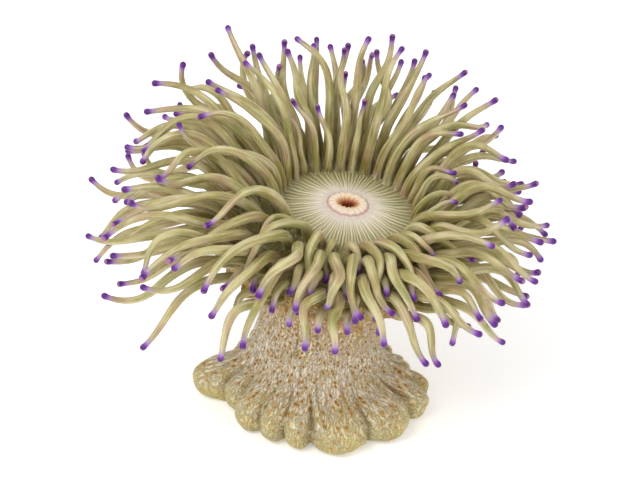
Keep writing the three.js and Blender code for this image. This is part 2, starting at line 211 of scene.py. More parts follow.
class Turning:
    """A closed form drawn up from a disc, ring by ring, in edit mode."""

    def __init__(self, name: str, sides: int, rings: Sequence[tuple[float, float]]) -> None:
        """Draws the form.

        Args:
            name: The new object's name.
            sides: How many sides each ring has.
            rings: Radius and height of each ring in millimetres. The last closes to a point.
        """
        radius, height = rings[0]
        bpy.ops.object.select_all(action="DESELECT")
        bpy.ops.mesh.primitive_circle_add(
            vertices=sides,
            radius=radius * MM,
            fill_type="TRIFAN",
            location=(0, 0, height * MM),
        )
        self.piece = bpy.context.active_object
        self.piece.name = name
        bpy.ops.object.transform_apply(location=True, rotation=True, scale=True)
        bpy.ops.object.mode_set(mode="EDIT")
        bpy.ops.mesh.select_mode(type="EDGE")
        bpy.ops.mesh.select_all(action="SELECT")
        bpy.ops.mesh.region_to_loop()
        for wider, higher in rings[1:]:
            rise = (0, 0, (higher - height) * MM)
            bpy.ops.mesh.extrude_region_move(TRANSFORM_OT_translate={"value": rise})
            grow = wider / radius
            bpy.ops.transform.resize(value=(grow, grow, 1), center_override=(0, 0, higher * MM))
            radius, height = wider, higher
        bpy.ops.mesh.merge(type="CENTER")
        bpy.ops.mesh.select_all(action="SELECT")
        bpy.ops.mesh.normals_make_consistent(inside=False)
        bpy.ops.object.mode_set(mode="OBJECT")


# ---- Shape ----


@dataclass
class Lean:
    """How the upright body is bent: not at all at the sole, and as one piece at the crown."""

    height: float = 44.0
    shift: float = 4.5
    right: float = math.radians(7)
    front: float = math.radians(6)

    def bent(self, points: np.ndarray) -> np.ndarray:
        """Bends points of the upright body.

        Args:
            points: Rows of x, y and z in millimetres.

        Returns:
            The same points after the bend.
        """
        x, y, z = points[..., 0], points[..., 1], points[..., 2]
        share = eased(z, 0, self.height)
        knee = np.minimum(z, self.height)
        right, front = self.right * share, self.front * share
        rise = z - knee
        up = rise * np.cos(right) - x * np.sin(right)
        across = x * np.cos(right) + rise * np.sin(right) + self.shift * share**2
        back = y * np.cos(front) - up * np.sin(front)
        return np.stack([across, back, y * np.sin(front) + up * np.cos(front) + knee], -1)


@dataclass
class Rim:
    """The rolled rim that bears the tentacles, from the disc's edge down to the margin."""

    disc_radius: float = 22.0
    disc_height: float = 77.0
    margin_radius: float = 39.5
    margin_height: float = 61.0
    shift: float = 3.0

    # How the tentacles are kept out of the rim's flesh
    core_inset: float = 6.0
    core_clearance: float = 0.6
    underside: float = 2.0
    lift_share: float = 0.5

    def profile(self, rim: float) -> tuple[float, float]:
        """Gives radius and height at an angle down the rim, in radians."""
        radius = mix(self.disc_radius, self.margin_radius, math.sin(rim))
        return radius, mix(self.margin_height, self.disc_height, math.cos(rim))

    def point(self, rim: float, azimuth: float) -> np.ndarray:
        """Gives a point on the rim.

        Args:
            rim: Angle down the rim, 0 at the disc's edge and a quarter turn at the margin.
            azimuth: Direction from the body's axis, in radians.

        Returns:
            Its x, y and z in millimetres.
        """
        radius, height = self.profile(rim)
        aside = self.shift * (1 - max(0.0, math.sin(rim)))
        return np.array([radius * math.cos(azimuth) + aside, radius * math.sin(azimuth), height])

    def lift(self, points: np.ndarray, radii: np.ndarray, freedom: np.ndarray) -> np.ndarray:
        """Finds how to bring points that have drifted into the rim's flesh out of it.

        Args:
            points: Points along the tentacles.
            radii: Radius of the tentacle at each of them.
            freedom: How freely each may move.

        Returns:
            A shift for each point.
        """
        hollow = self.disc_radius - self.core_inset
        out = np.hypot(points[..., 0] - self.shift / 2, points[..., 1])
        above = points[..., 2] - self.margin_height
        across = self.margin_radius - hollow + radii + self.core_clearance
        high = self.disc_height - self.margin_height + radii + self.core_clearance
        depth = np.hypot((out - hollow) / across, above / high)
        inside = (above >= -self.underside) & (out >= hollow) & (depth < 1)
        # The depth is kept well off nought, so that no push is huge
        need = 1 / np.maximum(depth, 0.3) - 1
        push = np.where(inside, need * freedom * self.lift_share, 0.0)
        outward = push * (out - hollow) / np.maximum(out, 1e-6)
        return np.stack(
            [outward * points[..., 0], outward * points[..., 1], push * above], -1
        )


class Side(Enum):
    """How the tentacles are held on each side of the crown, for the inner and outer row.

    Each entry holds the degrees above level half way along, those at the tip, and the
    scale of the length.
    """

    FRONT = ((-40, -34), (-74, -58), (0.56, 0.53))
    LEFT = ((22, -20), (-6, -16), (1.05, 1.03))
    RIGHT = ((24, -16), (10, -8), (0.8, 0.72))
    REAR = ((56, 30), (76, 72), (0.98, 0.98))


@dataclass(frozen=True)
class Row:
    """One row of tentacles round the rim: its angle down the rim in degrees, and their sizes."""

    rim: float
    count: int
    radius: float
    length: float


class Luck(NamedTuple):
    """What chance gives one tentacle, each from -1 to 1."""

    middle: float
    tip: float
    sway_phase: float
    curl: float
    length: float
    stunting: float
    radius: float
    wave: float
    nod_phase: float
    rise: float


@dataclass
class Tentacles:
    """The paths of all the tentacles, before and after they make room for one another.

    Lengths are in millimetres, angles in degrees and phases in radians. A field ending in
    `scatter` is the most by which chance changes what it is named for.
    """

    rim: Rim = field(default_factory=Rim)
    sectors: int = 11
    rows: tuple[Row, ...] = (
        Row(5, 3, 1.75, 45),
        Row(23.75, 3, 1.95, 51),
        Row(42.5, 4, 1.95, 51),
        Row(61.25, 4, 1.95, 50),
        Row(80, 3, 1.85, 46),
    )

    # Roots: each row is turned a little against the next, and tentacles on the sparse side
    # of the outer rows, like some of the first row, stay small
    slant: float = 1 / 150
    slant_centre: float = 42.5
    azimuth_scatter: float = 0.5
    rim_scatter: float = 1.5
    length_scatter: float = 0.13
    radius_scatter: float = 0.06
    taper: float = 0.6
    sparse_side: float = -100.0
    sparse_reach: float = 0.86
    sparse_row: int = 2
    stunted_below: tuple[float, float] = (0.1, 0.5)
    stunted_share: float = 0.4
    short_below: float = -0.2
    short_share: float = 0.62
    short_radius: float = 0.82

    # Paths: how they rise from the rim, nod up and down, sway sideways, curl and fan out
    stance: float = 0.85
    middle_scatter: float = 15.0
    tip_scatter: float = 40.0
    nod: float = 27.0
    nod_scatter: float = 10.0
    nod_phase_scatter: float = 1.3
    sway: float = 30.0
    sway_scatter: float = 12.0
    sway_waves: float = 3.0
    sway_row_phase: float = 1.2
    sway_phase_scatter: float = 0.8
    curl_scatter: float = 44.0
    risen: float = 0.34
    risen_scatter: float = 0.05
    fan: float = 34.0
    front_fan: float = 0.75

    # Parting: how far apart they are pushed, in how many rounds, by what share of the need
    samples: int = 24
    gap: float = 0.5
    rounds: int = 80
    search_every: int = 10
    search_reach: float = 8.7
    push: float = 0.7
    rooted: tuple[float, float] = (0.03, 0.18)

    def __post_init__(self) -> None:
        """Lays out every tentacle and then parts them."""
        self.azimuth: list[float] = []
        self.rim_angle: list[float] = []
        self.radius: list[float] = []
        self.length: list[float] = []
        paths = []
        for sector in range(self.sectors):
            for number, row in enumerate(self.rows):
                for place in range(row.count):
                    paths.append(self.path(len(paths) + 1, number, sector, place))
        shares = np.linspace(0, 1, self.samples)
        radii = np.stack([self.thickness(root, shares) for root in self.radius])
        self.paths = self.parted(np.stack(paths), radii)

    def held(self, entry: int, row: int, azimuth: float) -> float:
        """Blends one posture entry between the sides.

        Args:
            entry: 0 for the middle, 1 for the tip, 2 for the scale of the length.
            row: The row's number, from the disc outwards.
            azimuth: Direction of the tentacle's root.

        Returns:
            The entry's value there.
        """
        side = Side.RIGHT if math.cos(azimuth) > 0 else Side.LEFT
        end = Side.REAR if math.sin(azimuth) > 0 else Side.FRONT
        across = row / (len(self.rows) - 1)
        values = [mix(*choice.value[entry], across) for choice in (side, end)]
        return mix(*values, math.sin(azimuth) ** (2 if end is Side.REAR else 4))

    def thickness(self, root: float, share: np.ndarray) -> np.ndarray:
        """Gives the radius along a tentacle, a long taper without the swollen tip."""
        return root * (1 - self.taper * share**1.5)

    def path(self, index: int, number: int, sector: int, place: int) -> np.ndarray:
        """Draws one tentacle's centre line and notes its sizes.

        Args:
            index: The tentacle's number, from 1.
            number: Its row.
            sector: Its sector of the crown.
            place: Its place among the row's tentacles in that sector.

        Returns:
            Evenly spaced points from root to tip, in millimetres.
        """
        row = self.rows[number]
        share = (place + 0.5) / row.count + (row.rim - self.slant_centre) * self.slant
        azimuth = (sector + share) * math.tau / self.sectors
        azimuth += math.radians(self.azimuth_scatter * chance(index, 1))
        rim = math.radians(row.rim + self.rim_scatter * chance(index, 2))
        luck = Luck(*(chance(index, 10 + salt) for salt in range(10)))
        beside = math.cos(azimuth - math.radians(self.sparse_side))
        sparse = number >= self.sparse_row and beside > self.sparse_reach
        stunted = sparse and luck.stunting < self.stunted_below[number > self.sparse_row]
        small = stunted or (number == 0 and luck.stunting < self.short_below)
        length = row.length * (1 + self.length_scatter * luck.length)
        length *= self.held(2, number, azimuth)
        length *= self.stunted_share if stunted else self.short_share if small else 1
        radius = row.radius * (1 + self.radius_scatter * luck.radius)
        radius *= self.short_radius if small else 1

        t = (np.arange(1, self.samples) - 0.5) / (self.samples - 1)
        start = 90 - self.stance * math.degrees(rim)
        middle = self.held(0, number, azimuth) + self.middle_scatter * luck.middle
        tip = self.held(1, number, azimuth) + self.tip_scatter * luck.tip
        wave = self.nod + self.nod_scatter * luck.wave
        phase = self.sway_row_phase * number + self.sway_phase_scatter * luck.sway_phase
        sway = self.sway * math.sin(self.sway_waves * azimuth + phase)
        sway += self.sway_scatter * luck.wave
        fan = -self.fan * math.cos(azimuth) * math.sin(azimuth)
        fan *= self.front_fan if math.sin(azimuth) < 0 else 1
        risen = eased(t, 0, self.risen + self.risen_scatter * luck.rise)
        end = eased(t, 0.5, 1)
        nod = wave * np.sin(math.tau * t + self.nod_phase_scatter * luck.nod_phase) * risen
        elevation = np.radians(start + (middle - start) * risen + (tip - middle) * end + nod)
        turned = sway * np.sin(math.tau * t) * risen + self.curl_scatter * luck.curl * end
        heading = azimuth + np.radians(turned + fan * risen)
        steps = np.stack(
            [
                np.cos(elevation) * np.cos(heading),
                np.cos(elevation) * np.sin(heading),
                np.sin(elevation),
            ],
            -1,
        )
        root = self.rim.point(rim, azimuth)
        self.azimuth.append(azimuth)
        self.rim_angle.append(rim)
        self.radius.append(radius)
        self.length.append(length)
        along = np.cumsum(steps, 0) * length / (self.samples - 1)
        return np.concatenate([root[None], root + along])

    def near_pairs(self, points: np.ndarray) -> tuple[np.ndarray, np.ndarray]:
        """Finds pairs of points of different tentacles that may come to meet.

        Args:
            points: All the points, in order of tentacle.

        Returns:
            Two arrays of point numbers.
        """
        owner = np.arange(len(points)) // self.samples
        firsts, seconds = [], []
        for number in range(0, len(points), self.samples):
            own = points[number : number + self.samples]
            rest = np.flatnonzero(owner > owner[number])
            low, high = own.min(0) - self.search_reach, own.max(0) + self.search_reach
            rest = rest[((points[rest] > low) & (points[rest] < high)).all(1)]
            apart = np.linalg.norm(own[:, None] - points[rest][None], axis=-1)
            a, b = np.nonzero(apart < self.search_reach)
            firsts.append(a + number)
            seconds.append(rest[b])
        return np.concatenate(firsts), np.concatenate(seconds)

    def parted(self, rest: np.ndarray, radii: np.ndarray) -> np.ndarray:
        """Moves the tentacles sideways, little by little, until none runs through another.

        Args:
            rest: Points of every tentacle as first drawn.
            radii: Radius at every point.

        Returns:
            The points after parting.
        """
        share = np.arange(self.samples) / (self.samples - 1)
        freedom = eased(share, *self.rooted)
        moved, flat = rest.copy(), radii.ravel()
        for number in range(self.rounds):
            points = moved.reshape(-1, 3)
            if number % self.search_every == 0:
                a, b = self.near_pairs(points)
                reach = flat[a] + flat[b] + self.gap
            apart = points[a] - points[b]
            distance = np.linalg.norm(apart, axis=1) + 1e-9
            apart *= (np.maximum(0, reach - distance) / 2 / distance)[:, None]
            pushes = np.stack(
                [
                    np.bincount(a, apart[:, axis], len(points))
                    - np.bincount(b, apart[:, axis], len(points))
                    for axis in range(3)
                ],
                -1,
            ).reshape(rest.shape)
            shift = moved + pushes * (freedom * self.push)[:, None] - rest
            shift += self.rim.lift(rest + shift, radii, freedom)
            for _ in range(2):
                evened = shift.copy()
                evened[:, 1:-1] = (shift[:, :-2] + 2 * shift[:, 1:-1] + shift[:, 2:]) / 4
                evened[:, -1] = (shift[:, -1] + shift[:, -2]) / 2
                evened[:, 0] = 0
                shift = evened
            moved = rest + shift
        return moved


class Finish(Enum):
    """The finishes of the skin, in the order of its material slots."""

    COLUMN = 0
    DISC = 1
    TENTACLE = 2


@dataclass
class BodyWall:
    """Foot, column, rolled rim, disc and mouth, drawn up as one closed turned form.

    The rings are pairs of radius and height in millimetres. A field ending in `fade` says
    where something starts and ends: by height on the foot, by radius on the disc and lips, and
    otherwise by distance along the profile, from the place that its comment names.
    """

    lean: Lean = field(default_factory=Lean)
    rim: Rim = field(default_factory=Rim)
    sides: int = 64
    refinement: int = 2
    sole: tuple[tuple[float, float], ...] = ((14, 0), (30, 0), (38.4, 0))
    foot: tuple[tuple[float, float], ...] = ((42.2, 2.2), (42.8, 5.6), (39.6, 9.4), (33.2, 12))
    column: tuple[tuple[float, float], ...] = (
        (26.6, 15.8), (23.4, 21), (21.9, 27), (21.3, 33), (21.4, 39), (22.7, 44), (25.8, 49),
        (30, 53), (34.6, 56.2), (38.9, 58.6),
    )
    rim_angles: tuple[float, ...] = (88, 74, 60, 46, 32, 18, 4)
    disc: tuple[tuple[float, float], ...] = ((19, 77.1), (15, 77.4), (11.4, 77.8), (8.2, 78.1))
    lips: tuple[tuple[float, float], ...] = (
        (7.1, 77.9), (6.3, 78.7), (4.9, 78.9), (3.2, 78.6), (2.0, 77.6), (1.6, 75), (1.3, 72),
    )
    throat: tuple[float, float] = (0.6, 71.0)

    # Foot: the azimuth where each lobe starts, in degrees, and its reach
    lobes: tuple[tuple[float, float], ...] = (
        (12, 28.5), (40, 28), (68, 29), (97, 28.5), (126, 29), (150, 28.5), (170, 43), (199, 33),
        (216, 37), (237, 37.5), (253, 39), (268, 43), (299, 44), (327, 44), (344, 41.5),
        (353, 33),
    )
    full_reach: float = 42.0
    foot_top: float = 32.0
    crease_depth: float = 0.15
    crease_sharpness: float = 0.6
    crease_fade: tuple[float, float] = (5, 19)
    puff_height: float = 3.4
    puff_top: float = 16.0
    puff_sharpness: float = 0.7
    puff_fade: tuple[float, float] = (0, 5)
    knob_height: float = 0.4
    knobs: tuple[int, ...] = (23, 31, 43)
    knob_fade: tuple[float, float] = (6, 28)
    knob_start: float = -4.0
    # How sharply the painted shade in the foot's creases narrows, and the heights between which it
    # fades out
    furrow_sharpness: float = 2.2
    furrow_fade: tuple[float, float] = (4, 28)

    # Column: folds, from the start of the wall to its end, and the frilled edge at its end
    fold_height: float = 0.26
    folds: tuple[int, ...] = (37, 53, 61, 74)
    fold_start_fade: tuple[float, float] = (3, 15)
    fold_end_fade: tuple[float, float] = (0, 3)
    frill_height: float = 2.1
    frill_lift: float = 1.47
    frill_place: float = -1.0
    frill_width: float = 3.2
    ruffles: tuple[int, ...] = (23, 31, 43)
    lifts: tuple[int, ...] = (19, 29, 37)
    crown_fade: tuple[float, float] = (0, 1.5)

    # Disc: ribs, from its outer edge to the lips
    rib_height: float = 0.3
    ribs: int = 44
    rib_fade: tuple[float, float] = (7, 12)
    bare_radius: float = 20.15
    mouth_back: float = 1.7
    top_fade: tuple[float, float] = (-3, 3)

    # Lips: pleats round an opening that is wider than deep
    pleats: int = 16
    pleat_height: float = 0.35
    pleat_depth: float = 0.42
    pleat_middle: float = 0.6
    opening_stretch: float = 0.22
    opening_fade: tuple[float, float] = (1.8, 5)
    lips_start: float = -2.0
    disc_end_fade: tuple[float, float] = (0, 2)
    lip_fade: tuple[float, float] = (0, 3)

    # Finishes and bake map, which is cut at two distances along the profile. Its sole and top
    # are circles, each given by its centre and radius, and its wall is a rectangle.
    column_overlap: float = 7.0
    sole_seam: float = 36.0
    top_seam: float = 122.0
    sole_circle: tuple[float, float, float] = (0.88, 0.12, 0.1)
    sole_reach: float = 46.0
    top_circle: tuple[float, float, float] = (0.72, 0.36, 0.125)
    wall_size: tuple[float, float] = (0.57, 0.47)
    wall_span: tuple[float, float] = (33, 123)
    map_margin: float = 0.01

    def rings(self) -> list[tuple[float, float]]:
        """Lists radius and height of every ring, from the sole round to the throat."""
        rim = [self.rim.profile(math.radians(angle)) for angle in self.rim_angles]
        return [*self.sole, *self.foot, *self.column, *rim, *self.disc, *self.lips, self.throat]

    def stations(self) -> np.ndarray:
        """Lists each ring's distance along the profile, from the middle of the sole."""
        rings = self.rings()
        steps = [math.dist(one, other) for one, other in zip(rings, rings[1:])]
        return np.cumsum([rings[0][0], *steps])

    def lobe_shape(self, azimuth: np.ndarray) -> tuple[np.ndarray, np.ndarray]:
        """Finds how the foot reaches out at each azimuth.

        Args:
            azimuth: Direction of each point, in radians.

        Returns:
            The reach without creases, and how deep in a crease the point lies, 0 to 1.
        """
        start = np.array([lobe[0] for lobe in self.lobes] + [self.lobes[0][0] + 360.0])
        reach = np.array([lobe[1] for lobe in self.lobes], float)
        degrees = (np.degrees(azimuth) - start[0]) % 360 + start[0]
        lobe = np.clip(np.searchsorted(start, degrees, "right") - 1, 0, len(reach) - 1)
        across = (degrees - start[lobe]) / (start[lobe + 1] - start[lobe])
        middle = (start[:-1] + start[1:]) / 2
        middle = np.r_[middle[-1] - 360, middle, middle[0] + 360]
        around = np.r_[reach[-1], reach, reach[0]]
        place = np.searchsorted(middle, degrees, "right") - 1
        share = (degrees - middle[place]) / (middle[place + 1] - middle[place])
        level = mix(around[place], around[place + 1], eased(share, 0, 1))
        arch = np.sin(math.pi * np.clip(across, 0, 1)) ** self.crease_sharpness
        return level, 1 - arch

    def model(self) -> bpy.types.Object:
        """Draws up the turned form, refines it and shapes it.

        Returns:
            The closed body, bent, with its patterns' values and its bake map.
        """
        piece = Turning("body_wall", self.sides, self.rings()).piece
        stations = self.stations()
        station = np.r_[0, np.repeat(stations[:-1], self.sides), stations[-1]]
        made = piece.data.attributes.new("station", "FLOAT", "POINT")
        made.data.foreach_set("value", station.astype(np.float32))
        piece.modifiers.new("refine", "SUBSURF").levels = self.refinement
        piece.modifiers["refine"].render_levels = self.refinement
        bpy.ops.object.modifier_apply(modifier="refine")
        self.shape(piece)
        return piece

    def shape(self, piece: bpy.types.Object) -> None:
        """Moves the refined form's vertices into lobes, folds, ribs and lips, and bends it.

        Args:
            piece: The refined upright form.
        """
        upright = points_of(piece)
        station = np.empty(len(upright), np.float32)
        piece.data.attributes["station"].data.foreach_get("value", station)
        piece.data.attributes.remove(piece.data.attributes["station"])
        places = self.stations()
        wall_start = places[len(self.sole) - 1]
        wall_end = places[len(self.sole) + len(self.foot) + len(self.column) - 1]
        disc_start = places[-2 - len(self.lips) - len(self.disc)]
        lips_start = places[-1 - len(self.lips)] + self.lips_start

        radius = np.hypot(upright[:, 0], upright[:, 1])
        turn = np.arctan2(upright[:, 1], upright[:, 0])
        height = upright[:, 2].copy()
        level, crease = self.lobe_shape(turn)
        creased = crease * (1 - eased(height, *self.crease_fade))
        reach = level * (1 - self.crease_depth * creased) / self.full_reach
        wide = radius * mix(1.0, reach, 1 - eased(height, 0, self.foot_top))
        foot = (station > wall_start + self.knob_start) * (1 - eased(height, *self.knob_fade))
        arch = np.sin(math.pi * np.clip(height / self.puff_top, 0, 1))
        puff = (1 - crease) ** self.puff_sharpness * arch * eased(height, *self.puff_fade)
        high = height + self.puff_height * foot * puff

        wall = eased(station - wall_start, *self.fold_start_fade)
        wall = wall * (1 - eased(station - wall_end, *self.fold_end_fade))
        fold = ripples(turn, height, self.folds, 0.012)
        wide += self.fold_height * wall * fold
        wide += self.knob_height * foot * ripples(turn, height, self.knobs, 0.03)
        frill = np.exp(-(((station - wall_end - self.frill_place) / self.frill_width) ** 2))
        wide += self.frill_height * frill * ripples(turn, height, self.ruffles, 0.02)
        high -= self.frill_lift * frill * ripples(turn, height, self.lifts, 0.02)

        on_top = eased(station - disc_start, *self.top_fade)
        bare = on_top * (1 - eased(station - lips_start, *self.disc_end_fade))
        rib = np.cos(self.ribs * turn + 1.2 * np.sin(3 * turn))
        high += self.rib_height * bare * rib * eased(radius, *self.rib_fade)
        lip = eased(station - lips_start, *self.lip_fade)
        pleat = np.abs(np.sin(self.pleats / 2 * turn + 0.8 * np.sin(2 * turn + 1)))
        opening = lip * (1 - eased(radius, *self.opening_fade))
        wide *= 1 + opening * (self.pleat_depth * (pleat - self.pleat_middle))
        high += self.pleat_height * lip * (pleat - 0.5) * (1 - opening)

        roll = self.rim.margin_radius - self.rim.disc_radius
        inward = 1 - np.clip((radius - self.rim.disc_radius) / roll, 0, 1)
        aside = self.rim.shift * eased(station - wall_end, *self.crown_fade) * inward
        back = self.mouth_back * on_top * np.clip(1 - radius / self.bare_radius, 0, 1)
        x = wide * np.cos(turn) * (1 + self.opening_stretch * opening) + aside
        y = wide * np.sin(turn) * (1 - self.opening_stretch * opening) + back
        move_points(piece, self.lean.bent(np.stack([x, y, high], -1)))

        # The tone is how deep in a crease of the foot or between folds of the column a point is.
        # The column's skin darkens by it: painted shade in the creases and between the folds.
        vertex, face = corners_of(piece)
        furrow = crease**self.furrow_sharpness * (1 - eased(height, *self.furrow_fade))
        # Painted shade: deepest in the foot's creases and between the column's folds
        hollow = np.clip(furrow + wall * (0.1 - 0.25 * fold), 0, 1)
        keep_corner_values(piece, "grain", "FLOAT_VECTOR", upright[vertex] * MM)
        keep_corner_values(piece, "reach", "FLOAT", (station / places[-1])[vertex])
        keep_corner_values(piece, "tone", "FLOAT", hollow[vertex])
        middle = np.zeros(len(piece.data.polygons))
        np.add.at(middle, face, station[vertex] / np.bincount(face)[face])
        on_column = middle < wall_end + self.column_overlap
        kind = np.where(on_column, Finish.COLUMN.value, Finish.DISC.value)
        piece.data.polygons.foreach_set("material_index", kind.astype(np.int32))
        keep_bake_map(piece, self.bake_places(radius, station, turn, middle[face], vertex, face))

    def bake_places(
        self,
        radius: np.ndarray,
        station: np.ndarray,
        turn: np.ndarray,
        middle: np.ndarray,
        vertex: np.ndarray,
        face: np.ndarray,
    ) -> np.ndarray:
        """Lays the body out in the lower half of the bake map: sole, wall and top.

        Args:
            radius: Radius of each vertex of the upright form.
            station: Distance along the profile at each vertex.
            turn: Azimuth of each vertex.
            middle: Mean station of each corner's face.
            vertex: Vertex number of each corner.
            face: Face number of each corner.

        Returns:
            A place in the map for every corner.
        """
        way, angle = station[vertex], turn[vertex]
        flat = np.stack([np.cos(angle), np.sin(angle)], -1)
        start, end = self.wall_span
        around = unwound((angle / math.tau) % 1.0, face) / 1.01
        wall = np.stack([around, (way - start) / (end - start)], -1)
        wall = self.map_margin + wall * np.array(self.wall_size)
        *centre, size = self.sole_circle
        sole = np.array(centre) + flat * (radius[vertex] / self.sole_reach * size)[:, None]
        *centre, size = self.top_circle
        out = np.clip((way.max() - way) / (way.max() - self.top_seam), 0, 1)
        top = np.array(centre) + flat * (out * size)[:, None]
        places = np.where((middle < self.sole_seam)[:, None], sole, wall)
        return np.where((middle > self.top_seam)[:, None], top, places)


@dataclass
class TentacleTube:
    """One tube with a rounded tip, modelled once and laid along every tentacle's path."""

    lean: Lean = field(default_factory=Lean)
    sides: int = 12
    rings: int = 20

    # Tip: how far each of its rings is from the end, the bead that it swells into, how much
    # of it is violet, and the share of the colour ramp that this takes
    cap: tuple[float, ...] = (3.4, 2.5, 1.8, 1.2, 0.65, 0.25, 0.04)
    bead: float = 0.36
    bead_place: float = 1.1
    bead_length: float = 1.2
    painted_tip: float = 7.0
    tip_share: float = 0.2

    # Root: how deep it is buried, its width there, and how it flares where it leaves the rim
    root_depth: float = 2.6
    root_width: float = 0.86
    flare: float = 0.16
    flare_length: float = 1.6

    # Slight swellings along the stem: their height and how quick their waves are
    lumpiness: float = 0.03
    lumps: tuple[float, ...] = (12.4, 21.6, 30.8)

    # Patterns start this far apart on neighbours, and the bake map has rows of strips
    pattern_step: float = 60.0
    strips: int = 48
    strip_rows: int = 4

    def shares(self, length: float) -> np.ndarray:
        """Lists how far along the tentacle each ring stands, the buried root ring first.

        Args:
            length: The tentacle's length in millimetres.

        Returns:
            A share of the length for each ring, even ones and then those of the round tip.
        """
        tip = 1 - np.array(self.cap) / length
        body = np.arange(self.rings) / self.rings * tip[0]
        return np.r_[-1.0, body, tip]

    def widths(self, radii: np.ndarray, share: np.ndarray, length: float) -> np.ndarray:
        """Swells the tip into a round bead and closes it.

        Args:
            radii: Radius of the plain tapering tentacle at each ring.
            share: How far along each ring is.
            length: The tentacle's length in millimetres.

        Returns:
            Radius of each ring.
        """
        left = (1 - share) * length
        bead = np.exp(-(((left - self.bead_place) / self.bead_length) ** 2))
        swollen = radii * (1 + self.bead * bead)
        ball = radii[-1] * (1 + self.bead)
        closed = np.clip(1 - left / ball, 0, 1)
        return swollen * np.sqrt(1 - closed**2)

    def mould(self) -> bpy.types.Object:
        """Models the straight tube, one unit wide, with a ring at each whole height."""
        rings = [(1.0 / MM, height / MM) for height in range(1 + self.rings + len(self.cap))]
        return Turning("tentacle_mould", self.sides, rings).piece

    def frames(self, path: np.ndarray, first: np.ndarray) -> tuple[np.ndarray, np.ndarray]:
        """Finds two directions square to a path at each point, turned as little as can be.

        Args:
            path: Points along the tentacle.
            first: The direction that the rim faces at the root.

        Returns:
            Two arrays of directions.
        """
        ahead = np.gradient(path, axis=0)
        ahead /= np.linalg.norm(ahead, axis=1)[:, None]
        across = np.array([-first[1], first[0], 0.01])
        firsts, seconds = [], []
        for direction in ahead:
            across = across - direction * across.dot(direction)
            across /= np.linalg.norm(across)
            firsts.append(across)
            seconds.append(np.cross(direction, across))
        return np.stack(firsts), np.stack(seconds)

    def painted(self, share: np.ndarray, length: float) -> np.ndarray:
        """Gives the place in the colour ramp: 0 at the root, 1 at the tip.

        The last share of the ramp is always the same few millimetres of the tip.

        Args:
            share: How far along the tentacle each vertex is.
            length: The tentacle's length in millimetres.

        Returns:
            A place for each vertex.
        """
        left = (1 - share) * length
        tip = 1 - self.tip_share * left / self.painted_tip
        stem_share = 1 - self.tip_share
        stem = stem_share * share / max(1 - self.painted_tip / length, self.tip_share)
        return np.where(left < self.painted_tip, tip, np.minimum(stem, stem_share))

    def laid(self, mould: bpy.types.Object, crown: Tentacles, number: int) -> bpy.types.Object:
        """Copies the mould along one tentacle's path.

        Args:
            mould: The straight tube.
            crown: All the tentacles.
            number: Which of them to make, from 0.

        Returns:
            The finished tentacle, with its patterns' values and its bake map.
        """
        path, length = crown.paths[number], crown.length[number]
        rim, azimuth = crown.rim_angle[number], crown.azimuth[number]
        facing = np.array(
            [
                math.sin(rim) * math.cos(azimuth),
                math.sin(rim) * math.sin(azimuth),
                math.cos(rim),
            ]
        )
        shares = self.shares(length)
        even = np.linspace(0, 1, crown.samples)
        inside = np.maximum(shares, 0)
        centre = np.stack([np.interp(inside, even, path[:, axis]) for axis in range(3)], -1)
        centre[0] = centre[1] - facing * self.root_depth
        across, up = self.frames(centre, facing)
        lumps = sum(
            chance(number + 1, 40 + wave) * np.sin(waves * inside + wave)
            for wave, waves in enumerate(self.lumps)
        )
        width = crown.thickness(crown.radius[number], inside)
        width *= 1 + self.lumpiness * lumps
        width *= 1 + self.flare * np.exp(-((inside * length / self.flare_length) ** 2))
        width = self.widths(width, inside, length)
        width[0] = width[1] * self.root_width

        mesh = mould.data.copy()
        piece = bpy.data.objects.new(f"tentacle_{number + 1:03d}", mesh)
        # The mould is a metre in radius and its rings are a metre apart
        straight = points_of(piece) * MM
        ring = np.clip(np.round(straight[:, 2]).astype(int), 0, len(shares) - 1)
        tip = np.hypot(straight[:, 0], straight[:, 1]) < 0.5
        ended = tip & (straight[:, 2] > 0.5)
        spread = straight[:, :2] * width[ring][:, None]
        points = centre[ring] + across[ring] * spread[:, :1] + up[ring] * spread[:, 1:]
        points[ended] = path[-1]
        move_points(piece, self.lean.bent(points))

        vertex, face = corners_of(piece)
        share = np.where(ended, 1.0, inside[ring])
        along = share * length + self.pattern_step * number
        own = np.stack([spread[:, 0], spread[:, 1], along], -1)
        tone = np.full(len(vertex), 0.5 + 0.5 * chance(number + 1, 50))
        keep_corner_values(piece, "grain", "FLOAT_VECTOR", own[vertex] * MM)
        keep_corner_values(piece, "reach", "FLOAT", self.painted(share, length)[vertex])
        keep_corner_values(piece, "tone", "FLOAT", tone)
        kind = np.full(len(mesh.polygons), Finish.TENTACLE.value, np.int32)
        mesh.polygons.foreach_set("material_index", kind)
        keep_bake_map(piece, self.bake_places(straight, share, number, vertex, face))
        return piece

    def bake_places(
        self,
        straight: np.ndarray,
        share: np.ndarray,
        number: int,
        vertex: np.ndarray,
        face: np.ndarray,
    ) -> np.ndarray:
        """Lays one tentacle out as a strip in the upper half of the bake map.

        Args:
            straight: The mould's points.
            share: How far along the tentacle each vertex is.
            number: The tentacle's number, from 0.
            vertex: Vertex number of each corner.
            face: Face number of each corner.

        Returns:
            A place in the map for every corner.
        """
        turn = np.arctan2(straight[:, 1], straight[:, 0]) / math.tau % 1.0
        around = unwound(turn[vertex], face)
        row, column = divmod(number, self.strips)
        # Each strip leaves a little of its place free on every side
        u = (column + 0.06 + 0.8 * around) / self.strips
        v = 0.5 + (row + 0.03 + 0.94 * share[vertex]) / self.strip_rows / 2
        return np.stack([u, v], -1)


# ---- Finishes ----


@dataclass(frozen=True)
class Coat:
    """One colour, laid over a skin where a pattern's value lies in a range.

    Its weight runs from 0 at `none` to `most` at `full`, times the mask named by `within`.
    """

    pattern: str
    none: float
    full: float
    most: float
    colour: str
    within: str = ""


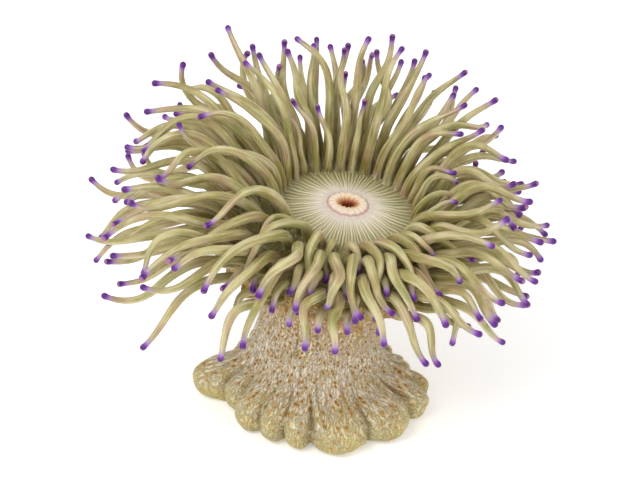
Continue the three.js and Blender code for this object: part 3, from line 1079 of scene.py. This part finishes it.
class Recipe:
    """A material's node tree, built one node at a time."""

    def __init__(self, name: str) -> None:
        """Starts an empty material.

        Args:
            name: The material's name.
        """
        self.material = bpy.data.materials.new(name)
        self.material.use_nodes = True
        self.tree = self.material.node_tree
        self.tree.nodes.clear()

    def add(
        self,
        kind: str,
        settings: dict[str, Any] | None = None,
        inputs: dict[str | int, Any] | None = None,
        stops: Stops | None = None,
    ) -> bpy.types.Node:
        """Adds a node with its settings and links.

        Args:
            kind: The node's type, without "ShaderNode".
            settings: Values of the node's own properties.
            inputs: A value, a node or an output socket for each input, by name or number. A
                node stands for its first output.
            stops: Place and colour of each stop, for a colour ramp.

        Returns:
            The node.
        """
        node = self.tree.nodes.new("ShaderNode" + kind)
        for name, value in (settings or {}).items():
            setattr(node, name, value)
        for place, value in (inputs or {}).items():
            socket = node.inputs[place]
            value = value.outputs[0] if isinstance(value, bpy.types.Node) else value
            if isinstance(value, bpy.types.NodeSocket):
                self.tree.links.new(value, socket)
            else:
                socket.default_value = value
        if stops:
            ramp = node.color_ramp
            while len(ramp.elements) < len(stops):
                ramp.elements.new(0.5)
            for element, (place, colour) in zip(ramp.elements, stops):
                element.position = place
                element.color = linear(colour)
        return node

    def coated(
        self, base: bpy.types.Node, patterns: dict[str, Any], coats: Sequence[Coat]
    ) -> bpy.types.NodeSocket:
        """Lays coats of colour over a base, one after the other.

        Args:
            base: The colour to start from.
            patterns: A node or an output socket for each pattern and mask that the coats name.
            coats: The coats, the lowest first.

        Returns:
            The mixed colour.
        """
        colour = base.outputs[0]
        for coat in coats:
            limits = {"From Min": coat.none, "From Max": coat.full, "To Max": coat.most}
            weight = self.add("MapRange", inputs={"Value": patterns[coat.pattern], **limits})
            if coat.within:
                factors = {0: weight, 1: patterns[coat.within]}
                weight = self.add("Math", {"operation": "MULTIPLY"}, factors)
            mixed = {"Factor": weight, 6: colour, 7: linear(coat.colour)}
            colour = self.add("Mix", {"data_type": "RGBA"}, mixed).outputs[2]
        return colour

    def finish(self, shader: bpy.types.Node) -> bpy.types.Material:
        """Ends the material with its surface shader."""
        self.add("OutputMaterial", inputs={"Surface": shader})
        return self.material


def per_mm(size: float) -> float:
    """Gives a pattern's scale for a feature size in millimetres, on coordinates in metres."""
    return 1 / (size * MM)


@dataclass(frozen=True)
class WetFlesh:
    """Living gelatinous tissue under a film of slime: soft inside light, a broad moist sheen."""

    roughness: float = 0.42
    ior: float = 1.38
    depth: float = 0.9 * MM
    inside_light: float = 0.18
    inside_spread: tuple[float, float, float] = (1.0, 0.62, 0.36)
    bloom_light: float = 0.25
    bloom_tint: str = "fbf0cc"
    bloom_roughness: float = 0.35
    film: float = 0.18
    film_roughness: float = 0.2

    def wet(
        self, recipe: Recipe, colour: bpy.types.NodeSocket, relief: bpy.types.Node
    ) -> bpy.types.Material:
        """Ends a material with the shader of wet flesh.

        Args:
            recipe: The material's node tree.
            colour: The finished colour.
            relief: The bumped normal.

        Returns:
            The material.
        """
        flesh = {
            "Base Color": colour,
            "Roughness": self.roughness,
            "IOR": self.ior,
            "Subsurface Weight": self.inside_light,
            "Subsurface Scale": self.depth,
            "Subsurface Radius": self.inside_spread,
            "Coat Weight": self.film,
            "Coat Roughness": self.film_roughness,
            "Sheen Weight": self.bloom_light,
            "Sheen Roughness": self.bloom_roughness,
            "Sheen Tint": linear(self.bloom_tint),
            "Normal": relief,
        }
        return recipe.finish(recipe.add("BsdfPrincipled", inputs=flesh))


@dataclass(frozen=True)
class TentacleFlesh(WetFlesh):
    """Smooth tentacle skin: olive with a cream bloom, passing through lilac to violet tips, with
    painted shade darkening the root.
    """

    bloom_light: float = 0.5
    inside_light: float = 0.25
    # The dark olive stops at the root are painted shade where the tentacles crowd at their bases
    ramp: Stops = (
        (0.0, "6e5e28"), (0.12, "92823c"), (0.35, "ac9f5f"), (0.65, "baad70"), (0.83, "b9a97e"),
        (0.87, "b29c92"), (0.905, "a98cba"), (0.93, "9058ac"), (0.95, "6c2a94"), (0.982, "460f6c"),
        (1.0, "a56a9c"),
    )
    # Cream bloom and olive shade in drawn-out mottles and in faint lengthwise lines, with
    # rosy and mossy stretches between
    coats: tuple[Coat, ...] = (
        Coat("mottle", 0.46, 0.72, 0.45, "e8e1be", "stem"),
        Coat("mottle", 0.5, 0.28, 0.55, "6f6432", "stem"),
        Coat("tinge", 0.52, 0.7, 0.45, "b88f7c", "stem"),
        Coat("tinge", 0.48, 0.3, 0.5, "8c9150", "stem"),
        Coat("lines", 0.5, 0.66, 0.4, "e8e1be", "stem"),
        Coat("lines", 0.48, 0.34, 0.25, "6f6432", "stem"),
    )
    # Size in millimetres, how little the pattern changes lengthwise, and detail
    noises: tuple[tuple[str, float, float, float], ...] = (
        ("mottle", 2.2, 0.3, 3.0), ("lines", 0.84, 0.05, 2.0),
    )
    tinge_size: float = 8.0
    tone_shift: float = 0.03
    stem_end: tuple[float, float] = (0.86, 0.93)
    line_relief: float = 0.25
    relief: float = 0.12 * MM

    def material(self) -> bpy.types.Material:
        """Builds the material."""
        recipe = Recipe("violet_tipped_tentacle_skin")
        add = recipe.add
        grain = add("Attribute", {"attribute_name": "grain"}).outputs["Vector"]
        tone = add("Attribute", {"attribute_name": "tone"}).outputs["Fac"]
        reach = add("Attribute", {"attribute_name": "reach"}).outputs["Fac"]
        swing = {0: tone, 1: self.tone_shift, 2: -self.tone_shift / 2}
        shift = add("Math", {"operation": "MULTIPLY_ADD"}, swing)
        place = add("Math", {"operation": "ADD"}, {0: reach, 1: shift})
        base = add("ValToRGB", inputs={"Fac": place}, stops=self.ramp)
        stem, violet = self.stem_end
        end = {"Value": place, "From Min": violet, "From Max": stem}
        patterns = {"stem": add("MapRange", inputs=end)}
        for name, size, stretch, detail in self.noises:
            drawn = add("Mapping", inputs={"Vector": grain, "Scale": (1.0, 1.0, stretch)})
            noise = {"Vector": drawn, "Scale": per_mm(size), "Detail": detail}
            patterns[name] = add("TexNoise", inputs=noise)
        where = add("TexCoord").outputs["Object"]
        tinge = {"Vector": where, "Scale": per_mm(self.tinge_size), "Detail": 1.0}
        patterns["tinge"] = add("TexNoise", inputs=tinge)
        colour = recipe.coated(base, patterns, self.coats)
        lines = {"Height": patterns["lines"], "Strength": self.line_relief}
        relief = add("Bump", inputs={**lines, "Distance": self.relief})
        return self.wet(recipe, colour, relief)


@dataclass(frozen=True)
class ColumnFlesh(WetFlesh):
    """Wrinkled column skin: cream with a fine network of wrinkles and rows of ochre warts."""

    roughness: float = 0.5
    bloom_light: float = 0.1
    # Darker brown towards the crown: partly the column's own brown and partly painted shade under
    # the tentacles
    heights: Stops = (
        (0.0, "b4a868"), (0.13, "d2c792"), (0.24, "f2e3bc"), (0.4, "ffecca"), (0.55, "eac68a"),
        (0.68, "bf8c40"), (0.8, "a06a22"), (0.88, "a67834"), (0.94, "cbb062"), (1.0, "a8955a"),
    )
    top: float = 68.0
    # Yellow and mauve patches; pale ridges and swirls with tan between them; brown in the
    # furrows, partly the skin's own tan and partly painted shade; ochre warts in yellow rings;
    # dark and light grit; painted shade in the creases and between the folds
    coats: tuple[Coat, ...] = (
        Coat("patch", 0.5, 0.66, 0.6, "dcc772"),
        Coat("patch", 0.46, 0.32, 0.4, "b09a86"),
        Coat("furrow", 0.04, 0.1, 0.72, "fff3e2", "wall"),
        Coat("swirl", 0.5, 0.62, 0.6, "fff3e2", "wall"),
        Coat("swirl", 0.46, 0.32, 0.38, "c4a068"),
        # Brown in the wrinkles' furrows: partly the skin's own tan and partly painted shade in the
        # furrows
        Coat("furrow", 0.038, 0.004, 0.68, "7c5a28", "off_sole"),
        Coat("wart", 0.5, 0.26, 0.75, "dcae4c", "off_sole"),
        Coat("wart", 0.25, 0.12, 0.92, "9a5c12", "off_sole"),
        Coat("grit", 0.42, 0.28, 0.45, "7a5a2a"),
        Coat("grit", 0.58, 0.72, 0.5, "f6ecdc"),
        # Painted shade: dark brown where the tone says a point lies deep in a crease or between
        # folds
        Coat("hollow", 0.22, 0.85, 0.72, "6a5222"),
    )
    # Width at the neck and height of a wrinkle and of a wart's plot, in millimetres
    neck_radius: float = 22.0
    wrinkle: tuple[float, float] = (0.647, 2.0)
    wart: tuple[float, float] = (1.467, 2.0)
    wart_scatter: float = 0.8
    # The waves that bend the wrinkles, and the swirls, are this many times a wrinkle's size
    wave: float = 2.0
    wave_reach: tuple[float, float, float] = (1.6, 1.6, 1.2)
    swirl: float = 5 / 3
    patch_size: float = 7.0
    grit_size: float = 0.7
    # Shares of the height between which the wall's patterns set in above the sole, how much
    # of some of them is left on it, and shares between which they fade out below the crown
    above_sole: tuple[float, float] = (0.04, 0.22)
    least_on_sole: float = 0.3
    below_crown: tuple[float, float] = (0.5, 0.82)
    # Where a ridge ends, and a wart's edge and middle, in pattern units, and the height of a
    # wart and of the grit beside a ridge's
    ridge: float = 0.12
    wart_edge: float = 0.27
    wart_middle: float = 0.13
    wart_height: float = 0.765
    grit_height: float = 0.6
    relief: float = 0.55 * MM

    def wound(self, recipe: Recipe, size: tuple[float, float]) -> bpy.types.Node:
        """Makes coordinates that run round the body and up it.

        They use the direction out from the axis, so a pattern on them closes on itself, and
        the height, so its columns stay upright as the wall flares out.

        Args:
            recipe: The material's node tree.
            size: Width at the neck and height of one pattern unit, in millimetres.

        Returns:
            The coordinates.
        """
        add = recipe.add
        width, height = size
        turns = self.neck_radius / width
        grain = add("Attribute", {"attribute_name": "grain"}).outputs["Vector"]
        flat = add("VectorMath", {"operation": "MULTIPLY"}, {0: grain, 1: (1.0, 1.0, 0.0)})
        outward = add("VectorMath", {"operation": "NORMALIZE"}, {0: flat})
        rise = {0: grain, 1: (0.0, 0.0, per_mm(height))}
        upward = add("VectorMath", {"operation": "MULTIPLY"}, rise)
        around = {0: outward, 1: (turns, turns, 0.0), 2: upward}
        return add("VectorMath", {"operation": "MULTIPLY_ADD"}, around)

    def material(self) -> bpy.types.Material:
        """Builds the material."""
        recipe = Recipe("warty_column_skin")
        add = recipe.add
        grain = add("Attribute", {"attribute_name": "grain"}).outputs["Vector"]
        climb = {0: add("SeparateXYZ", inputs={0: grain}).outputs["Z"], 1: per_mm(self.top)}
        level = add("Math", {"operation": "MULTIPLY"}, climb)
        base = add("ValToRGB", inputs={"Fac": level}, stops=self.heights)
        none, full = self.above_sole
        low = {"Value": level, "From Min": none, "From Max": full}
        full, none = self.below_crown
        high = {"Value": level, "From Min": none, "From Max": full}
        both = {0: add("MapRange", inputs=low), 1: add("MapRange", inputs=high)}

        place = self.wound(recipe, self.wrinkle)
        waves = add("TexNoise", inputs={"Vector": place, "Scale": 1 / self.wave, "Detail": 2.0})
        wander = {0: waves.outputs["Color"], 1: self.wave_reach, 2: place}
        wavy = add("VectorMath", {"operation": "MULTIPLY_ADD"}, wander)
        wrinkles = {"Vector": wavy, "Scale": 1.0, "Detail": 2.0, "Roughness": 0.55}
        # The noise crosses its mean of a half along the furrows between the wrinkles
        aside = {0: add("TexNoise", inputs=wrinkles), 1: 0.5}
        aside = add("Math", {"operation": "SUBTRACT"}, aside)
        from_furrow = add("Math", {"operation": "ABSOLUTE"}, {0: aside})
        swirls = {"Vector": wavy, "Scale": 1 / self.swirl, "Detail": 3.0, "Roughness": 0.6}
        plots = {"Vector": self.wound(recipe, self.wart), "Scale": 1.0}
        plots["Randomness"] = self.wart_scatter
        patterns = {
            "furrow": from_furrow,
            "swirl": add("TexNoise", inputs=swirls),
            "wart": add("TexVoronoi", {"feature": "F1"}, plots),
            "hollow": add("Attribute", {"attribute_name": "tone"}).outputs["Fac"],
            "wall": add("Math", {"operation": "MULTIPLY"}, both),
            "off_sole": add("MapRange", inputs={**low, "To Min": self.least_on_sole}),
        }
        where = add("TexCoord").outputs["Object"]
        for name, size in (("grit", self.grit_size), ("patch", self.patch_size)):
            noise = {"Vector": where, "Scale": per_mm(size), "Detail": 2.0}
            patterns[name] = add("TexNoise", inputs=noise)
        colour = recipe.coated(base, patterns, self.coats)

        # Relief: wrinkles, warts on them, and grit on both
        ridge = {"Value": from_furrow, "From Min": 0.0, "From Max": self.ridge}
        bead = {"Value": patterns["wart"], "From Min": self.wart_edge}
        bead = {**bead, "From Max": self.wart_middle, "To Max": self.wart_height}
        spot = {0: add("MapRange", inputs=bead), 1: patterns["off_sole"]}
        spot = {**spot, 2: add("MapRange", inputs=ridge)}
        raised = add("Math", {"operation": "MULTIPLY_ADD"}, spot)
        grit = {0: patterns["grit"], 1: self.grit_height, 2: raised}
        height = add("Math", {"operation": "MULTIPLY_ADD"}, grit)
        relief = add("Bump", inputs={"Height": height, "Strength": 1.0, "Distance": self.relief})
        return self.wet(recipe, colour, relief)


@dataclass(frozen=True)
class DiscFlesh(WetFlesh):
    """Smooth ribbed disc skin: cream in the middle, olive lines between the ribs, red throat."""

    roughness: float = 0.45
    edge: float = 40.0
    rings: Stops = (
        (0.0, "4f120c"), (0.045, "8a2f1c"), (0.07, "c98e5e"), (0.1, "efd9b8"), (0.155, "eedccb"),
        (0.173, "bd9289"), (0.187, "e6d5c6"), (0.24, "efe3d2"), (0.32, "dbd1b0"), (0.4, "c0b788"),
        (0.48, "a0975c"), (0.57, "80783a"), (1.0, "7c6c38"),
    )
    # Olive lines in the hollows and cream on the crests of the ribs
    coats: tuple[Coat, ...] = (
        Coat("wave", -0.1, -0.95, 0.85, "857c4c", "outer"),
        Coat("wave", 0.3, 1.0, 0.5, "f6f1e4", "ribbed"),
    )
    ribs: float = 110.0
    wander: float = 7.0
    wander_size: float = 6.0
    # Each mask's name, and the shares of `edge` where it starts and is full
    masks: tuple[tuple[str, float, float], ...] = (
        ("outer", 0.18, 0.42), ("inner", 0.66, 0.5), ("skin", 0.18, 0.2),
    )
    rib_relief: float = 0.5
    relief: float = 0.25 * MM

    def material(self) -> bpy.types.Material:
        """Builds the material."""
        recipe = Recipe("ribbed_disc_skin")
        add = recipe.add
        grain = add("Attribute", {"attribute_name": "grain"}).outputs["Vector"]
        parts = add("SeparateXYZ", inputs={0: grain}).outputs
        flat = add("CombineXYZ", inputs={0: parts["X"], 1: parts["Y"]})
        out = add("VectorMath", {"operation": "LENGTH"}, {0: flat}).outputs["Value"]
        share = add("Math", {"operation": "MULTIPLY"}, {0: out, 1: per_mm(self.edge)})
        base = add("ValToRGB", inputs={"Fac": share}, stops=self.rings)
        turn = add("Math", {"operation": "ARCTAN2"}, {0: parts["Y"], 1: parts["X"]})
        crests = add("Math", {"operation": "MULTIPLY"}, {0: turn, 1: self.ribs})
        noise = {"Vector": grain, "Scale": per_mm(self.wander_size), "Detail": 2.0}
        drift = {0: add("TexNoise", inputs=noise), 1: self.wander, 2: crests}
        drifted = add("Math", {"operation": "MULTIPLY_ADD"}, drift)
        patterns = {"wave": add("Math", {"operation": "SINE"}, {0: drifted})}
        for name, none, full in self.masks:
            limits = {"Value": share, "From Min": none, "From Max": full}
            patterns[name] = add("MapRange", inputs=limits)
        both = {0: patterns["inner"], 1: patterns["skin"]}
        patterns["ribbed"] = add("Math", {"operation": "MULTIPLY"}, both)
        colour = recipe.coated(base, patterns, self.coats)
        crest = {0: patterns["wave"], 1: patterns["skin"]}
        height = add("Math", {"operation": "MULTIPLY"}, crest)
        rise = {"Height": height, "Strength": self.rib_relief, "Distance": self.relief}
        return self.wet(recipe, colour, add("Bump", inputs=rise))


# ---- The animal ----


@dataclass
class AnemoneSkin:
    """The whole animal as one closed skin."""

    body: BodyWall = field(default_factory=BodyWall)
    tube: TentacleTube = field(default_factory=TentacleTube)
    crown: Tentacles = field(default_factory=Tentacles)
    junction_rounds: int = 3

    def materials(self) -> list[bpy.types.Material]:
        """Builds the finishes, in the order of the skin's material slots."""
        made = {
            Finish.COLUMN: ColumnFlesh().material(),
            Finish.DISC: DiscFlesh().material(),
            Finish.TENTACLE: TentacleFlesh().material(),
        }
        return [made[finish] for finish in Finish]

    def model(self) -> bpy.types.Object:
        """Unites the body wall and all the tentacles into one skin.

        Returns:
            The finished skin.
        """
        skin = self.body.model()
        LOG.info("body wall: %d faces", len(skin.data.polygons))
        mould = self.tube.mould()
        tubes = bpy.data.collections.new("tubes")
        bpy.context.scene.collection.children.link(tubes)
        for number in range(len(self.crown.paths)):
            tubes.objects.link(self.tube.laid(mould, self.crown, number))
        finishes = self.materials()
        for piece in (skin, *tubes.objects):
            for finish in finishes:
                piece.data.materials.append(finish)

        bpy.ops.object.select_all(action="DESELECT")
        skin.select_set(True)
        bpy.context.view_layer.objects.active = skin
        union = skin.modifiers.new("union", "BOOLEAN")
        union.operation = "UNION"
        union.operand_type = "COLLECTION"
        union.collection = tubes
        union.solver = "MANIFOLD"
        bpy.ops.object.modifier_apply(modifier="union")
        for piece in (mould, *tubes.objects):
            bpy.data.objects.remove(piece)
        bpy.data.collections.remove(tubes)
        self.soften_junctions(skin)
        bpy.ops.object.shade_smooth()
        layers = skin.data.uv_layers
        for name in [layer.name for layer in layers if layer.name != "OFBake"]:
            layers.remove(layers[name])
        skin.name = "anemone_skin"
        skin.data.name = "anemone_skin"
        return skin

    def soften_junctions(self, skin: bpy.types.Object) -> None:
        """Rounds the line where each tentacle leaves the rim.

        Args:
            skin: The united skin, active and selected.
        """
        vertex, face = corners_of(skin)
        kind = np.empty(len(skin.data.polygons), np.int32)
        skin.data.polygons.foreach_get("material_index", kind)
        tentacle = kind[face] == Finish.TENTACLE.value
        count = len(skin.data.vertices)
        both = np.zeros(count, bool)
        both[vertex[tentacle]] = True
        other = np.zeros(count, bool)
        other[vertex[~tentacle]] = True
        bpy.ops.object.mode_set(mode="EDIT")
        bpy.ops.mesh.select_mode(type="VERT")
        bpy.ops.mesh.select_all(action="DESELECT")
        bpy.ops.object.mode_set(mode="OBJECT")
        skin.data.vertices.foreach_set("select", both & other)
        bpy.ops.object.mode_set(mode="EDIT")
        bpy.ops.mesh.select_more()
        bpy.ops.mesh.vertices_smooth(factor=0.5, repeat=self.junction_rounds)
        bpy.ops.mesh.select_all(action="DESELECT")
        bpy.ops.object.mode_set(mode="OBJECT")


@dataclass(frozen=True)
class Lamp:
    """A square soft light, with its place and size in metres and its power in watts."""

    name: str
    place: tuple[float, float, float]
    size: float
    power: float


@dataclass
class Studio:
    """A plain pale floor, soft light and the camera."""

    floor_width: float = 6.0
    floor_colour: str = "fdfdfd"
    floor_roughness: float = 0.9
    floor_gloss: float = 0.1
    floor_glow: float = 0.3
    sky: float = 0.72
    lamps: tuple[Lamp, ...] = (
        Lamp("key", (-0.45, -0.5, 0.9), 0.5, 4.6),
        Lamp("fill", (0.7, -0.5, 0.5), 0.8, 1.4),
    )
    elevation: float = 30.0
    distance: float = 0.486
    target: tuple[float, float, float] = (0.0023, 0.0, 0.0621)
    lens: float = 80.0
    sensor: float = 36.0

    def build(self) -> None:
        """Sets up floor, light and camera."""
        self.lay_floor()
        self.light()
        self.place_camera()
        bpy.context.scene.view_settings.view_transform = "Standard"

    def lay_floor(self) -> None:
        """Lays the floor under the foot."""
        bpy.ops.object.select_all(action="DESELECT")
        bpy.ops.mesh.primitive_plane_add(size=self.floor_width)
        floor = bpy.context.active_object
        floor.name = "floor"
        recipe = Recipe("matt_white_paper")
        paper = {
            "Base Color": linear(self.floor_colour),
            "Roughness": self.floor_roughness,
            "Specular IOR Level": self.floor_gloss,
            "Emission Color": linear(self.floor_colour),
            "Emission Strength": self.floor_glow,
        }
        floor.data.materials.append(recipe.finish(recipe.add("BsdfPrincipled", inputs=paper)))

    def light(self) -> None:
        """Lights the scene from all round, a little more from the upper left and front."""
        world = bpy.data.worlds.new("studio")
        bpy.context.scene.world = world
        world.use_nodes = True
        sky = world.node_tree.nodes["Background"].inputs
        sky["Color"].default_value = (1, 1, 1, 1)
        sky["Strength"].default_value = self.sky
        for lamp in self.lamps:
            area = bpy.data.lights.new(lamp.name, "AREA")
            area.size = lamp.size
            area.energy = lamp.power
            holder = bpy.data.objects.new(lamp.name, area)
            holder.location = lamp.place
            aim = Vector(self.target) - Vector(lamp.place)
            holder.rotation_euler = aim.to_track_quat("-Z", "Y").to_euler()
            bpy.context.scene.collection.objects.link(holder)

    def place_camera(self) -> None:
        """Places the camera in front of the animal, looking down on it."""
        view = bpy.data.cameras.new("camera")
        view.lens = self.lens
        view.sensor_width = self.sensor
        view.clip_start = 0.01
        camera = bpy.data.objects.new("camera", view)
        tilt = math.radians(self.elevation)
        back = Vector((0, -math.cos(tilt), math.sin(tilt)))
        camera.location = Vector(self.target) + back * self.distance
        camera.rotation_euler = (math.pi / 2 - tilt, 0, 0)
        bpy.context.scene.collection.objects.link(camera)
        bpy.context.scene.camera = camera


def main() -> None:
    """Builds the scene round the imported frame."""
    logging.basicConfig(level=logging.INFO, format="%(name)s: %(message)s")
    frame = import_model()
    skin = AnemoneSkin().model()
    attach(skin, "root")
    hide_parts(*sorted(frame["nodes"]))
    LOG.info("%s: %d faces", skin.name, len(skin.data.polygons))
    Studio().build()


if __name__ == "__main__":
    main()
